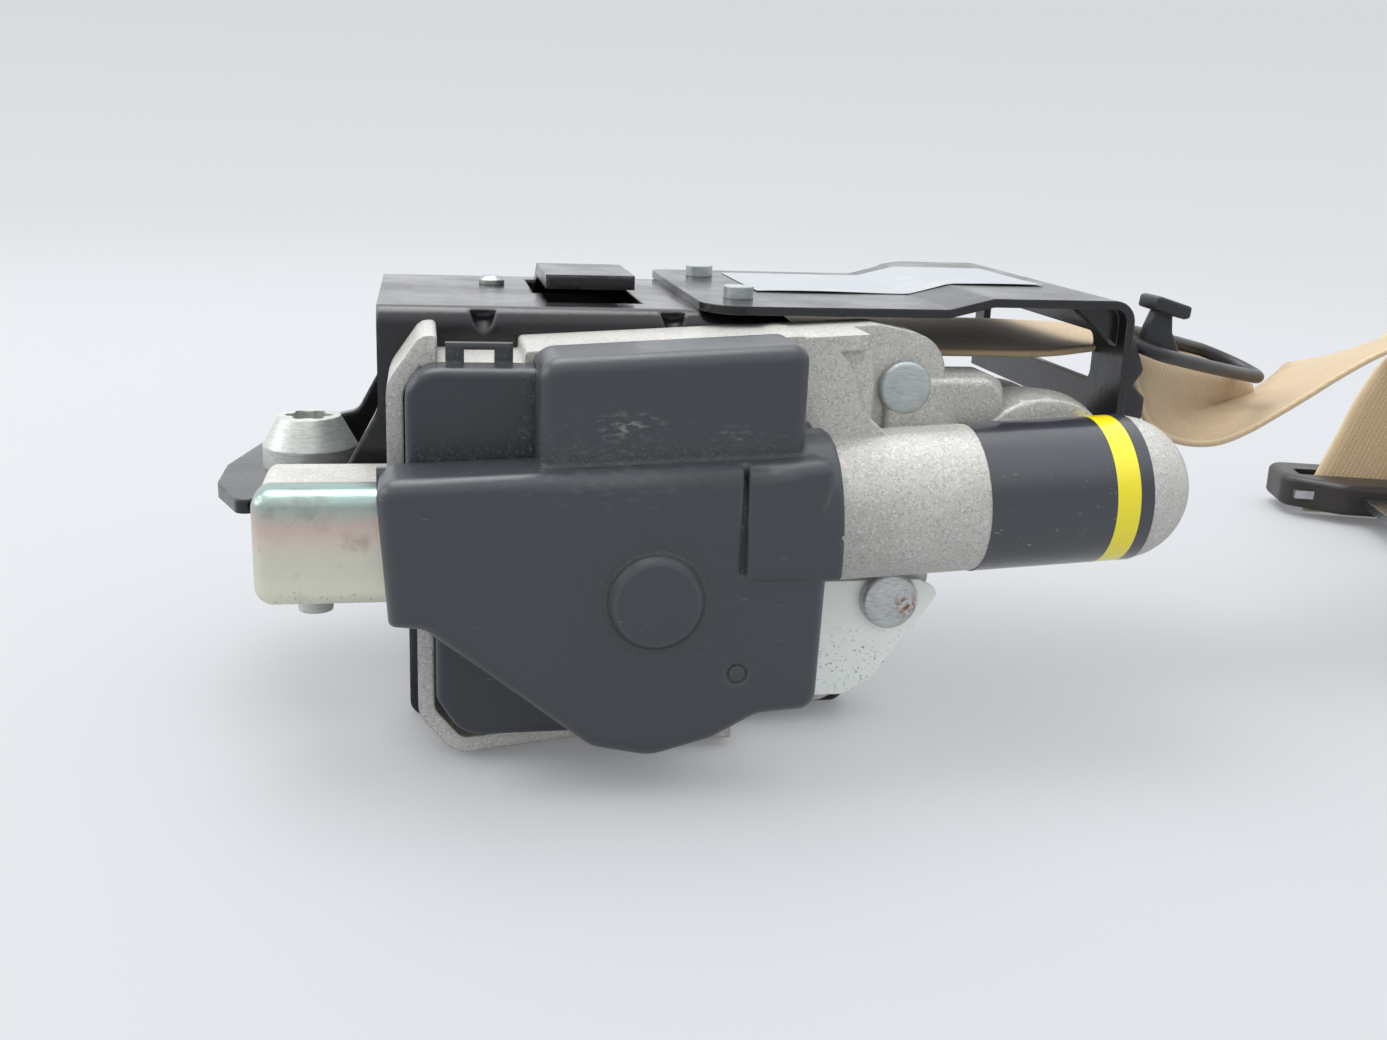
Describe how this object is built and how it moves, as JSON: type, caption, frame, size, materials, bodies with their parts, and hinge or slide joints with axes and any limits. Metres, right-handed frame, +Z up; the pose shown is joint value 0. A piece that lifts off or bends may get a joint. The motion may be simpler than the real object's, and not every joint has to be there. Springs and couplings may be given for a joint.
{
  "type": "seat belt",
  "caption": "Vehicle seat belt: steel U-frame retractor with rack pretensioner, slotted bracket, belt guide, beige webbing, tongue and end anchor.",
  "frame": {"origin": "centre of the anchor hole at the underside of the frame's tab", "axes": "+X from the anchor tab to the belt exit, +Y away from the pretensioner side, +Z up from the floor through the back plate"},
  "size_m": [0.4348, 0.2195, 0.0766],
  "materials": {
    "black_coated_steel": "satin electrocoat",
    "zinc_steel": "zinc plated",
    "iridescent_zinc": "yellow-blue passivated zinc",
    "bolt_zinc": "dull zinc",
    "rivet_steel": "bare upset steel",
    "hard_steel": "hardened and oiled",
    "die_cast": "as cast",
    "black_plastic": "moulded",
    "pale_plastic": "moulded",
    "webbing": "woven polyester",
    "rubber": "moulded",
    "spring_steel": "blued strip",
    "bearing_steel": "polished",
    "tongue_steel": "bright plated"
  },
  "bodies": {
    "retractor": {"retractor_frame": "black_coated_steel", "tie_rods": "zinc_steel", "belt_bracket": "black_coated_steel", "bracket_rivets": "rivet_steel", "top_screw": "zinc_steel", "near_bush": "pale_plastic", "far_bush": "pale_plastic", "pretensioner_housing": "die_cast", "rack_guard": "iridescent_zinc", "base_plate": "iridescent_zinc", "housing_rivets": "rivet_steel", "gear_cover": "black_plastic", "front_cover": "black_plastic", "gas_generator": "zinc_steel", "generator_retainer": "zinc_steel", "generator_connector": "black_plastic", "pawl_pin": "zinc_steel", "mechanism_cover": "black_plastic", "cover_screws": "zinc_steel", "sensor_housing": "pale_plastic", "spring_case": "black_plastic", "mainspring": "spring_steel", "spring_cover": "black_plastic", "belt_strap": "webbing", "belt_guide": "black_plastic", "stop_button": "black_plastic", "lap_strap": "webbing", "strap_end_loop": "webbing"},
    "spool": {"spool": "die_cast", "torsion_bar": "hard_steel", "webbing_pin": "hard_steel", "webbing_roll": "webbing", "ratchet_wheel": "hard_steel", "spring_arbor": "pale_plastic"},
    "rack": {"piston_rack": "hard_steel", "piston_seal": "rubber"},
    "pinion": {"drive_pinion": "hard_steel", "clutch_rollers": "hard_steel"},
    "anchor_bolt": {"anchor_bolt": "bolt_zinc"},
    "lock_pawl": {"lock_pawl": "hard_steel"},
    "sensor_lever": {"sensor_lever": "black_plastic"},
    "sensor_ball": {"sensor_ball": "bearing_steel"},
    "tongue": {"tongue_plate": "tongue_steel", "tongue_body": "black_plastic"},
    "end_anchor": {"end_anchor": "zinc_steel"}
  },
  "joints": [
    {"name": "spool_turn", "type": "hinge", "parent": "retractor", "child": "spool", "pos_m": [0.0546, 0, -0.0018], "axis": [0, 1, 0], "continuous": true},
    {"name": "rack_drive", "type": "slide", "parent": "retractor", "child": "rack", "axis": [-0.9985, 0, -0.0541], "range_m": [0, 0.035]},
    {"name": "pinion_turn", "type": "hinge", "parent": "retractor", "child": "pinion", "pos_m": [0.0546, -0.043, -0.0018], "axis": [0, 1, 0], "range_deg": [-360, 0]},
    {"name": "bolt_turn", "type": "hinge", "parent": "retractor", "child": "anchor_bolt", "pos_m": [0, 0, 0], "axis": [0, 0, 1], "continuous": true},
    {"name": "pawl_swing", "type": "hinge", "parent": "retractor", "child": "lock_pawl", "pos_m": [0.0805, 0.03, -0.017], "axis": [0, 1, 0], "range_deg": [-10, 0]},
    {"name": "sensor_lever_swing", "type": "hinge", "parent": "retractor", "child": "sensor_lever", "pos_m": [0.036, 0.0325, -0.0164], "axis": [0, 1, 0], "range_deg": [0, 8]},
    {"name": "sensor_ball_roll", "type": "slide", "parent": "retractor", "child": "sensor_ball", "axis": [0, 1, 0], "range_m": [0, 0.0015]},
    {"name": "tongue_slide", "type": "slide", "parent": "retractor", "child": "tongue", "axis": [0.4706, 0.1402, 0.8711], "range_m": [0, 0.006]},
    {"name": "end_anchor_swing", "type": "hinge", "parent": "retractor", "child": "end_anchor", "pos_m": [0.376, 0.122, -0.031], "axis": [0, -1, 0], "range_deg": [0, 60]}
  ],
  "couplings": [
    {"joint": "pinion_turn", "follows": "rack_drive", "rad_per_m": -177.78}
  ]
}
